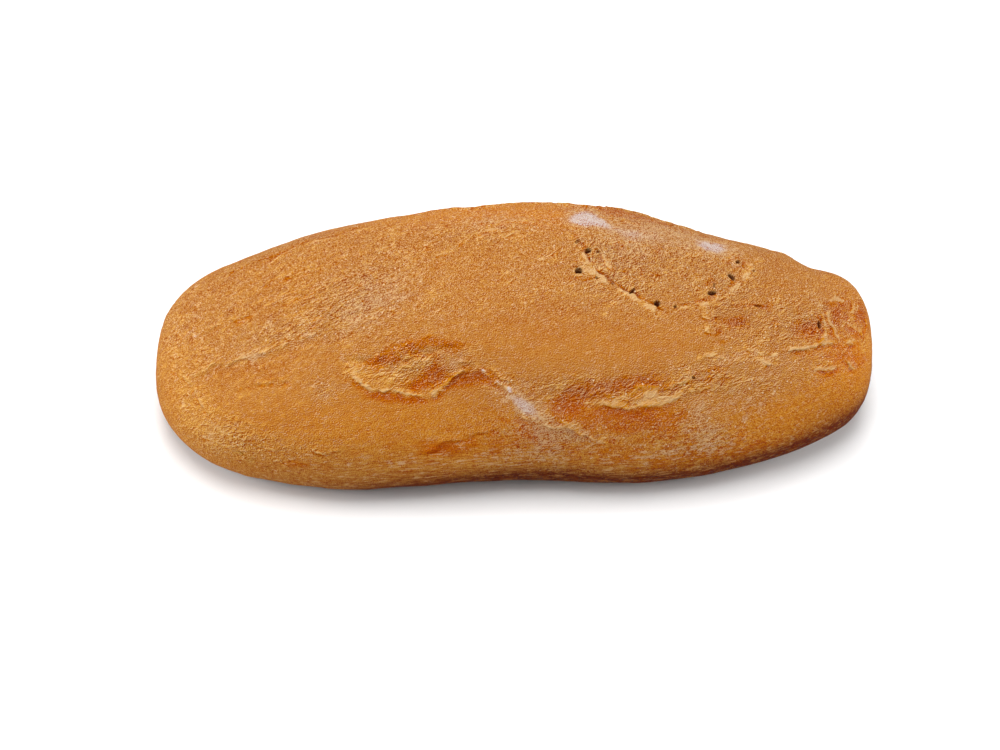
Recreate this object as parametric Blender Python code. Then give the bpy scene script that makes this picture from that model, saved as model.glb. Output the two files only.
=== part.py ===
"""Sourdough loaf: one long, hand-shaped, uncut loaf that was baked on a flat stone.

+X runs along the loaf, its front is -Y and +Z is up. The flat base lies on z = 0, with the middle of
its box at the origin. The constants are in millimetres and the mesh is in metres.
"""
import bmesh
import bpy
import numpy as np
from mathutils import Vector, noise
from mathutils.bvhtree import BVHTree

for old in list(bpy.data.objects):
    bpy.data.objects.remove(old, do_unlink=True)

MM = 0.001

# The plain loaf: its reach to the back and to the front, and its height, at every eighth of the
# length from the left end to the right end. The middle line bends back at the left end.
LENGTH = 321.0
BACK = (64.0, 56.5, 61.0, 64.5, 70.0, 68.5, 58.5, 56.5, 54.0)
FRONT = (72.0, 71.5, 69.5, 64.0, 61.5, 63.0, 63.0, 58.0, 57.0)
HEIGHT = (52.0, 68.0, 77.0, 81.0, 82.0, 81.0, 78.0, 74.0, 66.0)
BEND = (1.0, 0.5, 0.0, 0.0, 0.0, 0.0, 0.0, 0.0, 0.0)
WAIST = 0.38  # share of the height at which the loaf is widest
LEFT_END = 2.8  # 2 makes an elliptic end, more a squarer one
RIGHT_END = 2.8
CROWN = 2.15  # the same for the section above the waist
BELLY = 2.55  # and below it
BELLY_REACH = 44.0  # how far below the waist the dough would hang without the stone
BASE_ROUNDING = 3.0

# The cage that the loaf is shaped from
CELLS_ALONG = 176
CELLS_ACROSS = 50
CELLS_UP = 50
CAP_SHARE = 0.2  # of the way from the middle to a tip
BASE_TURN = 34.0  # degrees below the waist where the underside of the cage begins
TRIANGLES = 11000

# Slow unevenness of hand-shaped dough: wavelength and height of each layer. It and all the marks
# fade out towards the base, between the two heights given for it.
LUMPS = ((46.0, 1.0), (19.0, 0.45))
FADE_FROM = 7.0
FADE_TO = 0.5

# The folds are drawn as an eye sees them from the front and above, in millimetres right of and above
# the middle of the loaf, and are dropped onto the crust along the sight lines.
EYE_PITCH = 55.0
EYE_DISTANCE = 1057.0
MIDDLE = (0.0, 0.0, 32.0)

# Knob at the right end: a swelling of the dough, and the neck beside it, which comes over from
# the back. Then a slight pinch low on the front.
KNOB = (148.0, 24.0, 40.0)
KNOB_SIZE = 12.0
KNOB_RISE = 4.2
NECK = ((128, 44, 22), (132, 40, 34), (134, 33, 45), (138, 24, 53), (141, 14, 57), (142, 6, 58))
NECK_DEPTH = 1.5
NECK_SPREAD = 8.0
PINCH = (24.0, -58.0, 28.0)
PINCH_SIZE = 18.0
PINCH_DEPTH = 1.4

# A fold's crest is steep towards its hollow and gentle on its other side, as shares of its width
STEEP_SIDE = 0.6
GENTLE_SIDE = 1.5

# Lap left of the middle, where the dough was folded over itself
LAP = (
    (-79, -11), (-72, -16), (-66, -19.5), (-52, -22), (-44, -23.5), (-37, -23), (-30, -17),
    (-26, -13.5), (-22, -11.5), (-17, -11.5), (-12, -14), (-4, -20), (3, -24.5),
)
LAP_TAIL = ((3, -24.5), (14, -35.5), (27, -42), (39, -45), (56, -49))
LAP_BACK_WALL = ((-80, -5), (-66, -5.5), (-56, -6.5), (-48, -3), (-38, -1), (-28, 0.5), (-21, -3))
LAP_TONGUE = ((-56, -8.2), (-48, -8.5), (-42, -7.5), (-38, -5.8), (-33, -3))
ARCH_RIDGE = ((-28, -7.5), (-20, -9), (-16, -9.5), (-11, -11.5), (-6, -15), (0, -18.5), (6, -22))

# Second fold right of the middle, the lip low on the front, and the ridges and creases round them
SECOND_FOLD = ((30, -22), (37, -26), (44, -27), (56, -28), (66, -27), (74, -23), (82, -20), (90, -18))
FRONT_LIP = ((-45, -48), (-37, -47.5), (-34, -45), (-30, -43), (-24, -43), (-15, -40), (-6, -38.5))
LEFT_RIDGE = ((-143, -12), (-134, -9), (-125, -6.5), (-118, -3), (-109, -1), (-103, 0))
SHOULDER_CREASE = ((-131, 29.5), (-127, 30), (-122, 34), (-113, 37.5), (-107, 40), (-96, 46))
LOW_CREASE = ((-126, -46.5), (-119, -50.5), (-112, -54.5), (-105, -58.5))
LOW_CREASE_2 = ((-131, -50), (-122, -54))
V_LEFT = ((26, 51), (28, 47), (32, 37), (34, 33), (39, 29), (48, 25), (59, 19.5), (65, 15), (68, 12))
V_RIGHT = ((72, 16), (83, 18), (93, 21.5), (101, 26), (107, 33))
DIMPLE_RIM = ((134, 15), (137, 11), (137.5, 7), (136, 3))
RIGHT_RIDGE = ((127, -2), (135, 0), (146, 0), (156, 3))
END_CREASE = ((157, 3), (155, -2), (153, -7))
FOLDS = (
    # path, crest, width, hollow, its offset and spread
    (LAP, 1.1, 1.9, 0.6, -2.8, 1.9),
    (LAP_TAIL, 0.6, 2.2, 0.3, 4.5, 3.5),
    (LAP_BACK_WALL, 0.3, 1.9, 0.7, -2.8, 2.1),
    (LAP_TONGUE, 0.8, 1.4, 0.3, 2.4, 1.6),
    (ARCH_RIDGE, 0.7, 1.3, 0.4, -2.0, 1.5),
    (SECOND_FOLD, 1.0, 1.9, 0.5, -2.4, 1.8),
    (FRONT_LIP, 0.6, 1.3, 0.5, -1.8, 1.5),
    (LEFT_RIDGE, 0.6, 1.6, 0.3, -3.0, 2.2),
    (SHOULDER_CREASE, 0.3, 2.2, 0.9, 0.0, 0.9),
    (LOW_CREASE, 0.3, 2.2, 0.9, 0.0, 0.9),
    (LOW_CREASE_2, 0.3, 2.0, 0.7, 0.0, 0.9),
    (V_LEFT, 0.7, 1.8, 0.5, -2.2, 1.2),
    (V_RIGHT, 0.6, 1.5, 0.4, 2.2, 1.3),
    (DIMPLE_RIM, 0.8, 1.2, 0.0, 2.0, 1.0),
    (RIGHT_RIDGE, 0.9, 1.7, 0.6, -3.0, 2.2),
    (END_CREASE, 0.3, 1.8, 0.9, 0.0, 0.9),
)
POCKETS = (
    # right, above, half-length, half-height, depth
    (-63, -9, 10, 4.5, 0.9),
    (-41, -12.5, 6, 5, 1.3),
    (-45, -18, 6, 4, 0.9),
    (-21, -16.5, 8, 3.5, 0.9),
    (24, -24, 11, 7, 1.1),
    (52, -18, 13, 4, 0.8),
    (72, 32, 26, 9, 0.7),
    (103, 10, 11, 4, 0.8),
    (132, 8, 5.5, 4.5, 2.0),
)

# Burst bubbles: right, above, radius, depth. Each is flat-bottomed inside and has a rounded rim,
# which are shares of its radius
PIT_FLOOR = 0.35
PIT_RIM = 1.15
PINHOLES = (
    (28.9, 32.9, 1.3, 2.6), (33.3, 42.3, 1.0, 2.0), (53.0, 23.9, 1.0, 1.6), (64.2, 18.6, 1.0, 2.0),
    (88.8, 23.5, 1.5, 2.0), (97.4, 30.7, 1.6, 2.2), (100.5, 37.8, 1.0, 1.8), (80.3, -15.4, 1.0, 1.6),
)

# On the back and the ends, drawn as an eye sees them from behind, and lower down
BACK_EYE_PITCH = 25.0
BACK_SEAM = ((-104, -4), (-82, 4), (-58, 2), (-34, 8), (-8, 5), (18, 10), (40, 6), (58, 9))
BACK_FOLDS = (
    (BACK_SEAM, 1.2, 2.0, 1.0, -3.5, 2.5),
    (((-132, 4), (-120, -3), (-104, -6), (-92, -14)), 0.7, 2.0, 0.6, -3.5, 2.5),
    (((64, 16), (82, 20), (98, 17), (116, 20)), 0.7, 2.0, 0.6, -3.5, 2.5),
    (((70, -12), (88, -9), (104, -14), (124, -11)), 0.7, 2.0, 0.6, -3.5, 2.5),
    (((-30, -16), (-8, -19), (16, -17), (34, -21)), 0.7, 2.0, 0.6, -3.5, 2.5),
)
BACK_POCKETS = ((-40, -2, 16, 5, 1.0), (24, 1, 13, 5, 1.0), (92, 8, 14, 5, 0.8), (-112, 2, 10, 5, 0.7))


def cubic(t, span, start, end, start_slope, end_slope):
    """Cubic that leaves and meets its ends at the given slopes."""
    return (
        (2 * t**3 - 3 * t**2 + 1) * start
        + (t**3 - 2 * t**2 + t) * span * start_slope
        + (3 * t**2 - 2 * t**3) * end
        + (t**3 - t**2) * span * end_slope
    )


def along(x, figures):
    """Smooth value at x of figures set out evenly from end to end of the loaf."""
    figures = np.array(figures)
    slopes = np.gradient(figures)
    place = np.clip(x / LENGTH + 0.5, 0, 1) * (len(figures) - 1)
    first = np.minimum(place.astype(int), len(figures) - 2)
    return cubic(
        place - first, 1.0, figures[first], figures[first + 1], slopes[first], slopes[first + 1]
    )


def fade(x, start, end):
    """0 up to start and 1 from end on, smoothly."""
    t = np.clip((x - start) / (end - start), 0, 1)
    return t * t * (3 - 2 * t)


def section(latitude):
    """Shares of the half-length and of the half-width at a latitude between the tips."""
    sine = np.sin(latitude)
    cosine = np.cos(latitude)
    power = np.where(sine < 0, LEFT_END, RIGHT_END)
    reach = (np.abs(sine) ** power + np.abs(cosine) ** power) ** (1 / power)
    return sine / reach, cosine / reach


def plain_loaf(latitude, turn):
    """Points of the loaf without its folds. turn goes from the front over the top to the back."""
    share, width = section(latitude)
    x = LENGTH / 2 * share
    cosine = np.cos(turn)
    sine = np.sin(turn)
    power = np.where(sine >= 0, CROWN, BELLY)
    reach = (np.abs(cosine) ** power + np.abs(sine) ** power) ** (1 / power)
    height = along(x, HEIGHT)
    waist = WAIST * height
    side = np.where(cosine >= 0, along(x, FRONT), along(x, BACK))
    y = along(x, BEND) - side * width * cosine / reach
    upright = np.where(sine >= 0, height - waist, BELLY_REACH)
    z = waist + upright * width * sine / reach
    pressed = (z + BASE_ROUNDING) ** 2 / (4 * BASE_ROUNDING)
    z = np.where(z > BASE_ROUNDING, z, np.where(z < -BASE_ROUNDING, 0, pressed))
    return np.stack([x, y, z], axis=-1)


def cage_to_loaf(cage):
    """Wraps the points of a cube of size 2 round the plain loaf, at an even spacing lengthwise."""
    across = cage[:, 1]
    up = cage[:, 2]
    rim = np.maximum(np.abs(across), np.abs(up))
    scale = np.maximum(rim, 1e-6)
    across = across / scale
    up = up / scale
    low = BASE_TURN
    front = np.interp(up, (-1, 1), (-low, 45))
    back = np.interp(up, (-1, 1), (180 + low, 135))
    top = np.interp(across, (-1, 1), (45, 135))
    base = np.interp(across, (-1, 1), (360 - low, 180 + low))
    on_side = np.abs(across) >= np.abs(up)
    turn = np.where(on_side, np.where(across < 0, front, back), np.where(up > 0, top, base))
    table = np.linspace(0, np.pi / 2, 400)
    share, width = section(table)
    steps = np.hypot(np.diff(share) * LENGTH / 2, np.diff(width) * FRONT[3])
    run = np.concatenate([[0], np.cumsum(steps)])
    on_cap = np.abs(cage[:, 0]) > 1 - 1e-6
    way = np.where(on_cap, 1 - CAP_SHARE * rim, np.abs(cage[:, 0]) * (1 - CAP_SHARE))
    latitude = np.sign(cage[:, 0]) * np.interp(way * run[-1], run, table)
    return plain_loaf(latitude, np.radians(turn))


def spline(points, step):
    """Points at even steps along a smooth curve through the given points."""
    knots = np.array(points, float)
    run = np.concatenate([[0], np.cumsum(np.linalg.norm(np.diff(knots, axis=0), axis=1))])
    slopes = np.gradient(knots, run, axis=0)
    places = np.linspace(0, run[-1], int(run[-1] / step) + 2)
    first = np.clip(np.searchsorted(run, places) - 1, 0, len(run) - 2)
    span = (run[first + 1] - run[first])[:, None]
    t = (places - run[first])[:, None] / span
    return cubic(t, span, knots[first], knots[first + 1], slopes[first], slopes[first + 1])


# Cage, with its cells cut one direction at a time
shape = bmesh.new()
bmesh.ops.create_cube(shape, size=2.0)
for axis, cells in ((0, CELLS_ALONG), (1, CELLS_ACROSS), (2, CELLS_UP)):
    edges = [e for e in shape.edges if abs(e.verts[0].co[axis] - e.verts[1].co[axis]) > 1e-6]
    bmesh.ops.subdivide_edges(shape, edges=edges, cuts=cells - 1, use_grid_fill=True)
cage = np.array([v.co[:] for v in shape.verts])
plain = cage_to_loaf(cage)
for vert, point in zip(shape.verts, plain):
    vert.co = point
bmesh.ops.recalc_face_normals(shape, faces=shape.faces)
shape.normal_update()
outward = np.array([v.normal[:] for v in shape.verts])
crust = BVHTree.FromBMesh(shape)


class View:
    """An eye that looks at the middle of the loaf."""

    def __init__(self, pitch, behind):
        pitch = np.radians(pitch)
        facing = -1.0 if behind else 1.0
        self.right = np.array([facing, 0, 0])
        self.up = np.array([0, facing * np.sin(pitch), np.cos(pitch)])
        self.towards = np.array([0, -facing * np.cos(pitch), np.sin(pitch)])
        self.eye = np.array(MIDDLE) + EYE_DISTANCE * self.towards

    def sheet(self):
        """Where each point of the crust is on the drawing, and how far it faces the eye."""
        sight = plain - self.eye
        scale = EYE_DISTANCE / -(sight @ self.towards)
        seen = np.stack([(sight @ self.right) * scale, (sight @ self.up) * scale], axis=-1)
        facing = -np.sum(sight * outward, axis=1) / np.linalg.norm(sight, axis=1)
        return seen, fade(facing, 0.0, 0.25)

    def drop(self, path, step=1.0):
        """A drawn path, as points on the crust."""
        found = []
        for right, above in spline(path, step):
            aim = self.right * right + self.up * above - self.towards * EYE_DISTANCE
            hit = crust.ray_cast(Vector(self.eye), Vector(aim))[0]
            if hit is not None:
                found.append(hit[:])
        return np.array(found)


def fold(line, crest, width, hollow=0.0, offset=0.0, spread=1.0):
    """Rise along a line: a crest that is steep towards a hollow at its left (+) or right (-)."""
    heading = np.gradient(line, axis=0)
    reach = 3 * max(width, abs(offset) + spread)
    low = line.min(axis=0) - reach
    high = line.max(axis=0) + reach
    near = np.nonzero(np.all((plain > low) & (plain < high), axis=1))[0]
    gap = plain[near][:, None, :] - line[None, :, :]
    far = np.linalg.norm(gap, axis=2)
    closest = far.argmin(axis=1)
    rows = np.arange(len(near))
    left = np.cross(outward[near], heading[closest])
    side = np.where(np.sum(left * gap[rows, closest], axis=1) > 0, 1.0, -1.0)
    away = far[rows, closest] * side
    breadth = np.where(away * offset > 0, STEEP_SIDE, GENTLE_SIDE) * width
    share = closest / (len(line) - 1)
    taper = fade(share, 0, 0.15) * fade(1 - share, 0, 0.15)
    rise = np.zeros(len(plain))
    rise[near] = taper * (
        crest * np.exp(-((away / breadth) ** 2))
        - hollow * np.exp(-(((away - offset) / spread) ** 2))
    )
    return rise


def pocket(view, right, above, half_length, half_height, depth):
    """Fall of a shallow oval hollow."""
    seen, facing = view.sheet()
    away = np.hypot((seen[:, 0] - right) / half_length, (seen[:, 1] - above) / half_height)
    return -depth * facing * np.exp(-(away**2))


front_view = View(EYE_PITCH, behind=False)
back_view = View(BACK_EYE_PITCH, behind=True)

rise = np.zeros(len(plain))
rise += KNOB_RISE * np.exp(-np.sum((plain - KNOB) ** 2, axis=1) / (2 * KNOB_SIZE**2))
rise -= PINCH_DEPTH * np.exp(-np.sum((plain - PINCH) ** 2, axis=1) / (2 * PINCH_SIZE**2))
rise += fold(spline(NECK, 1.0), 0, 1, hollow=NECK_DEPTH, offset=0, spread=NECK_SPREAD)

for path, crest, width, hollow, offset, spread in FOLDS:
    rise += fold(front_view.drop(path), crest, width, hollow, offset, spread)
for hollow in POCKETS:
    rise += pocket(front_view, *hollow)

for path, crest, width, hollow, offset, spread in BACK_FOLDS:
    rise += fold(back_view.drop(path), crest, width, hollow, offset, spread)
for hollow in BACK_POCKETS:
    rise += pocket(back_view, *hollow)

for wavelength, height in LUMPS:
    rise += height * np.array([noise.noise(Vector(p) / wavelength) for p in plain])

# The burst bubbles, as small round pits
for right, above, radius, depth in PINHOLES:
    spot = front_view.drop(((right, above), (right + 0.1, above)), 0.1)[0]
    away = np.linalg.norm(plain - spot, axis=1)
    rise -= depth * (1 - fade(away, PIT_FLOOR * radius, PIT_RIM * radius))

# Nothing stands out of the base, which lay flat on the stone
rise *= fade(plain[:, 2], FADE_TO, FADE_FROM)
loaf_points = plain + outward * rise[:, None]
loaf_points[:, 2] = np.maximum(loaf_points[:, 2], 0)
box_middle = (loaf_points.min(axis=0) + loaf_points.max(axis=0)) / 2
loaf_points[:, :2] -= box_middle[:2]
for vert, point in zip(shape.verts, loaf_points):
    vert.co = Vector(point) * MM
shape.normal_update()

collection = bpy.data.collections.new("sourdough_loaf")
bpy.context.scene.collection.children.link(collection)

mesh = bpy.data.meshes.new("loaf")
shape.to_mesh(mesh)
shape.free()
mesh.shade_smooth()
loaf = bpy.data.objects.new("loaf", mesh)
collection.objects.link(loaf)

crust_material = bpy.data.materials.new("baked_crust")
crust_material.use_nodes = True
principled = crust_material.node_tree.nodes["Principled BSDF"]
principled.inputs["Base Color"].default_value = (0.53, 0.22, 0.05, 1.0)
principled.inputs["Roughness"].default_value = 0.75
principled.inputs["Metallic"].default_value = 0.0
mesh.materials.append(crust_material)

mesh.calc_loop_triangles()
thin_out = loaf.modifiers.new("thin_out", "DECIMATE")
thin_out.decimate_type = "COLLAPSE"
thin_out.ratio = TRIANGLES / len(mesh.loop_triangles)
thin_out.use_collapse_triangulate = True
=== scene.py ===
import bmesh
import bpy
import numpy as np
from mathutils import Matrix, Vector, noise
from mathutils.bvhtree import BVHTree
from mathutils.kdtree import KDTree


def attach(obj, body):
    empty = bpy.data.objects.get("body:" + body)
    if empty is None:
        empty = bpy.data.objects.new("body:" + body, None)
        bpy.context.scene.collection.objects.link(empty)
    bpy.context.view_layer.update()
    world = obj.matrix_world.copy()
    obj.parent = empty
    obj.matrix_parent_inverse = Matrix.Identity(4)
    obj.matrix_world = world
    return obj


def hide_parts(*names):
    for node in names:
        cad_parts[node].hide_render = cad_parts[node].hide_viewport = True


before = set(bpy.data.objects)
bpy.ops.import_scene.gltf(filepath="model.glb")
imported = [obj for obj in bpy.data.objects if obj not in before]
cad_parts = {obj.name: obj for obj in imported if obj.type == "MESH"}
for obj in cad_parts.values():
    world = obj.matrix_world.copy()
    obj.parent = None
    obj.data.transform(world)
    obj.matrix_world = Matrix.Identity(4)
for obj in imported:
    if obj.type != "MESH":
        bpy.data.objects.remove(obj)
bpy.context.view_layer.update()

# ---------------------------------------------------------------------------------------------
# The dough
# One long loaf, rolled and shaped by hand and baked on a flat stone, so it has a flat base, a
# rounded crown, a slight waist and a small knob where the dough was pinched off. All in mm.
# ---------------------------------------------------------------------------------------------
MM = 0.001
LENGTH = 321.0

# How far the dough reaches, at even steps from the left end to the right
BACK = (64.0, 56.5, 61.0, 64.5, 70.0, 68.5, 58.5, 56.5, 54.0)
FRONT = (72.0, 71.5, 69.5, 64.0, 61.5, 63.0, 63.0, 58.0, 57.0)
HEIGHT = (52.0, 68.0, 77.0, 81.0, 82.0, 81.0, 78.0, 74.0, 66.0)
BEND = (1.0, 0.5, 0.0, 0.0, 0.0, 0.0, 0.0, 0.0, 0.0)

WAIST = 0.38  # height of the widest part, as a share of the whole height
BELLY_REACH = 44.0  # how far under it the sides would close if they weren't pressed flat
BASE_ROUNDING = 3.0

# How square the outline is, seen from above and from an end: 2 is an ellipse
LEFT_END = 2.8
RIGHT_END = 2.8
CROWN = 2.15
BELLY = 2.55

# The cube that is wrapped round the dough
CELLS_ALONG = 200
CELLS_ACROSS = 56
CELLS_UP = 56
CAP_SHARE = 0.2  # share of the way from the middle to a tip that an end of the cube covers
TOP_EDGE = 45.0  # degrees above the waist where the cube's upper long edges lie
BASE_EDGE = 34.0  # degrees below the waist where its lower long edges lie
TINY = 1e-6


def cubic(t, span, start, end, start_slope, end_slope):
    """Cubic that leaves and meets its ends at the given slopes."""
    return (
        (2 * t**3 - 3 * t**2 + 1) * start
        + (t**3 - 2 * t**2 + t) * span * start_slope
        + (3 * t**2 - 2 * t**3) * end
        + (t**3 - t**2) * span * end_slope
    )


def along(x, figures):
    """Smooth value at x of figures set out evenly from end to end of the loaf."""
    figures = np.array(figures)
    slopes = np.gradient(figures)
    place = np.clip(x / LENGTH + 0.5, 0, 1) * (len(figures) - 1)
    first = np.minimum(place.astype(int), len(figures) - 2)
    return cubic(
        place - first, 1.0, figures[first], figures[first + 1], slopes[first], slopes[first + 1]
    )


def fade(x, start, end):
    """0 up to start and 1 from end on, smoothly."""
    t = np.clip((x - start) / (end - start), 0, 1)
    return t * t * (3 - 2 * t)


def section(latitude):
    """Shares of the half-length and of the half-width at a latitude between the tips."""
    sine = np.sin(latitude)
    cosine = np.cos(latitude)
    power = np.where(sine < 0, LEFT_END, RIGHT_END)
    reach = (np.abs(sine) ** power + np.abs(cosine) ** power) ** (1 / power)
    return sine / reach, cosine / reach


def plain_loaf(latitude, turn):
    """Points of the loaf without its folds. turn goes from the front over the top to the back."""
    share, width = section(latitude)
    x = LENGTH / 2 * share
    cosine = np.cos(turn)
    sine = np.sin(turn)
    power = np.where(sine >= 0, CROWN, BELLY)
    reach = (np.abs(cosine) ** power + np.abs(sine) ** power) ** (1 / power)
    height = along(x, HEIGHT)
    waist = WAIST * height
    side = np.where(cosine >= 0, along(x, FRONT), along(x, BACK))
    y = along(x, BEND) - side * width * cosine / reach
    upright = np.where(sine >= 0, height - waist, BELLY_REACH)
    z = waist + upright * width * sine / reach
    pressed = (z + BASE_ROUNDING) ** 2 / (4 * BASE_ROUNDING)
    z = np.where(z > BASE_ROUNDING, z, np.where(z < -BASE_ROUNDING, 0, pressed))
    return np.stack([x, y, z], axis=-1)


def cage_to_loaf(cage):
    """Wraps the points of a cube of size 2 round the plain loaf, at an even spacing lengthwise."""
    across = cage[:, 1]
    up = cage[:, 2]
    rim = np.maximum(np.abs(across), np.abs(up))
    scale = np.maximum(rim, TINY)
    across = across / scale
    up = up / scale
    front = np.interp(up, (-1, 1), (-BASE_EDGE, TOP_EDGE))
    back = np.interp(up, (-1, 1), (180 + BASE_EDGE, 180 - TOP_EDGE))
    top = np.interp(across, (-1, 1), (TOP_EDGE, 180 - TOP_EDGE))
    base = np.interp(across, (-1, 1), (360 - BASE_EDGE, 180 + BASE_EDGE))
    on_side = np.abs(across) >= np.abs(up)
    turn = np.where(on_side, np.where(across < 0, front, back), np.where(up > 0, top, base))
    table = np.linspace(0, np.pi / 2, 400)
    share, width = section(table)
    steps = np.hypot(np.diff(share) * LENGTH / 2, np.diff(width) * FRONT[3])
    run = np.concatenate([[0], np.cumsum(steps)])
    on_cap = np.abs(cage[:, 0]) > 1 - TINY
    way = np.where(on_cap, 1 - CAP_SHARE * rim, np.abs(cage[:, 0]) * (1 - CAP_SHARE))
    latitude = np.sign(cage[:, 0]) * np.interp(way * run[-1], run, table)
    return plain_loaf(latitude, np.radians(turn))


shape = bmesh.new()
bmesh.ops.create_cube(shape, size=2.0)
for axis, count in ((0, CELLS_ALONG), (1, CELLS_ACROSS), (2, CELLS_UP)):
    edges = [e for e in shape.edges if abs(e.verts[0].co[axis] - e.verts[1].co[axis]) > TINY]
    bmesh.ops.subdivide_edges(shape, edges=edges, cuts=count - 1, use_grid_fill=True)


def measure_dough():
    """The plain loaf's points and outward directions, and a tree to find its surface with."""
    points = cage_to_loaf(np.array([v.co[:] for v in shape.verts]))
    formed = shape.copy()
    for vert, point in zip(formed.verts, points):
        vert.co = point
    bmesh.ops.recalc_face_normals(formed, faces=formed.faces)
    formed.normal_update()
    directions = np.array([v.normal[:] for v in formed.verts])
    tree = BVHTree.FromBMesh(formed)
    formed.free()
    return points, directions, tree


plain, outward, dough = measure_dough()

# ---------------------------------------------------------------------------------------------
# Folds
# The dough was folded over itself and its seams baked open on the front: a curled lap left of the
# middle with a tail to the right, a second fold, a lip low down, and slighter ridges and creases.
# ---------------------------------------------------------------------------------------------

# Marks are drawn as an eye sees them, in mm to the right of the loaf's middle and above it, and
# dropped onto the dough along the sight lines.
EYE_PITCH = 55.0
BACK_EYE_PITCH = 25.0
EYE_DISTANCE = 1057.0
MIDDLE = (0.0, 0.0, 32.0)
GRAZING = 0.25  # marks fade out where the dough faces the eye by less than this share
PATH_STEP = 0.7


def spline(points, step):
    """Points at even steps along a smooth curve through the given points."""
    knots = np.array(points, float)
    run = np.concatenate([[0], np.cumsum(np.linalg.norm(np.diff(knots, axis=0), axis=1))])
    slopes = np.gradient(knots, run, axis=0)
    places = np.linspace(0, run[-1], int(run[-1] / step) + 2)
    first = np.clip(np.searchsorted(run, places) - 1, 0, len(run) - 2)
    span = (run[first + 1] - run[first])[:, None]
    t = (places - run[first])[:, None] / span
    return cubic(t, span, knots[first], knots[first + 1], slopes[first], slopes[first + 1])


class View:
    """An eye that looks at the middle of the loaf."""

    def __init__(self, pitch, behind):
        pitch = np.radians(pitch)
        facing = -1.0 if behind else 1.0
        self.right = np.array([facing, 0, 0])
        self.up = np.array([0, facing * np.sin(pitch), np.cos(pitch)])
        self.towards = np.array([0, -facing * np.cos(pitch), np.sin(pitch)])
        self.eye = np.array(MIDDLE) + EYE_DISTANCE * self.towards

    def sheet(self, points):
        """Where points of the dough are on the drawing."""
        sight = points - self.eye
        scale = EYE_DISTANCE / -(sight @ self.towards)
        return np.stack([(sight @ self.right) * scale, (sight @ self.up) * scale], axis=-1)

    def facing(self):
        """1 where the dough faces the eye and 0 where it faces away."""
        sight = plain - self.eye
        return fade(-np.sum(sight * outward, axis=1) / np.linalg.norm(sight, axis=1), 0.0, GRAZING)

    def drop(self, path):
        """A drawn path, as points on the dough."""
        found = []
        for right, above in spline(path, PATH_STEP):
            aim = self.right * right + self.up * above - self.towards * EYE_DISTANCE
            hit = dough.ray_cast(Vector(self.eye), Vector(aim))[0]
            if hit is not None:
                found.append(hit[:])
        return np.array(found)


front_view = View(EYE_PITCH, behind=False)
back_view = View(BACK_EYE_PITCH, behind=True)

LAP = (
    (-79, -11), (-72, -16), (-66, -19.5), (-52, -22), (-44, -23.5), (-37, -23), (-30, -17),
    (-26, -13.5), (-22, -11.5), (-17, -11.5), (-12, -14), (-4, -20), (3, -24.5),
)
LAP_TAIL = (
    (2, -26), (4.5, -32), (9, -35), (17, -37.4), (25, -38), (31.5, -41), (37.3, -44), (48, -46),
)
LAP_BACK_WALL = ((-80, -5), (-66, -5.5), (-56, -6.5), (-48, -3), (-38, -1), (-28, 0.5), (-21, -3))
LAP_TONGUE = ((-56, -8.2), (-48, -8.5), (-42, -7.5), (-38, -5.8), (-33, -3))
ARCH_RIDGE = ((-28, -7.5), (-20, -9), (-16, -9.5), (-11, -11.5), (-6, -15), (0, -18.5), (6, -22))
SECOND_FOLD = (
    (30, -26.5), (38, -27), (46, -27.5), (52, -28.9), (58, -28), (64, -27.5), (72, -23.5),
    (84, -19.9), (92, -17),
)
FRONT_LIP = ((-45, -48), (-37, -47.5), (-34, -45), (-30, -43), (-24, -43), (-15, -40), (-6, -38.5))
LEFT_RIDGE = (
    (-147.5, -16.5), (-142.5, -13), (-127, -8), (-117, -5), (-103, -0.5), (-90, 5), (-78, 13),
)
SHOULDER_CREASE = (
    (-133, 24), (-129.5, 28), (-127, 31), (-121, 34.5), (-110, 39), (-99, 43.5), (-90, 48.5),
)
LOW_CREASE = ((-126, -46.5), (-119, -50.5), (-112, -54.5), (-105, -58.5))
LOW_CREASE_2 = ((-131, -50), (-122, -54))
V_LEFT = (
    (26, 51), (28, 47), (32, 39), (34, 35.5), (38, 30.5), (42.5, 27), (53.5, 21), (61, 17.5),
    (70, 12),
)
V_RIGHT = ((72, 16), (83, 18.5), (93, 22), (100, 28), (105.5, 36), (104, 44))
V_CRACK = ((70, 16), (76, 18.5), (81, 20), (86, 21))
DIMPLE_RIM = ((137.5, 15), (138.8, 10), (137.8, 3), (135.5, -0.5))
RIGHT_RIDGE = ((118, -4), (128, -1.8), (135.5, -0.2), (141, 1), (147.5, 0.7), (152, 1), (158, 3))
END_CREASE = ((157, 3), (155, -2), (153, -7))
SECOND_FOLD_TOP = ((50, -21.5), (58, -20), (66, -19.7), (76, -16.5), (83, -12.5))
KNOB_RIBS = (
    ((140, 16), (141, 11), (142.3, 8), (146.3, 1)),
    ((149, 10), (153, 6), (157, 3)),
    ((148.5, -7), (150.5, -10.5), (154, -11.5)),
    ((134, -11.5), (141, -11), (147, -9)),
    ((150, 19), (150.5, 14), (149.5, 10)),
    ((140, 19), (144, 20), (148, 18)),
    ((156, 12), (157, 6), (156.5, 1)),
)
HAZE_WISPS = (
    ((97, -1.5), (105, -2.5), (113, -5), (121, -5.5)),
    ((103, -7), (111, -8), (119, -9.5)),
    ((109, -11), (115, -8.5), (121, -6)),
    ((80, -8), (88, -5.5), (96, -6)),
    ((14, -32.5), (21, -35), (28, -37.5)),
    ((4, -30), (9, -31.5), (14, -35)),
)
V_RIBS = (
    ((39.5, 41), (41, 36.5), (42.5, 33.8), (45, 37)),
    ((42.5, 44.5), (46, 45.5), (49.5, 43), (48.5, 39.5)),
    ((27, 30.5), (32, 30), (37, 31.5)),
    ((82, 14), (87, 11.5), (91, 13)),
    ((84, 7.5), (89, 6), (93, 8.5)),
    ((92, 34), (96, 38), (101, 41)),
)
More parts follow.
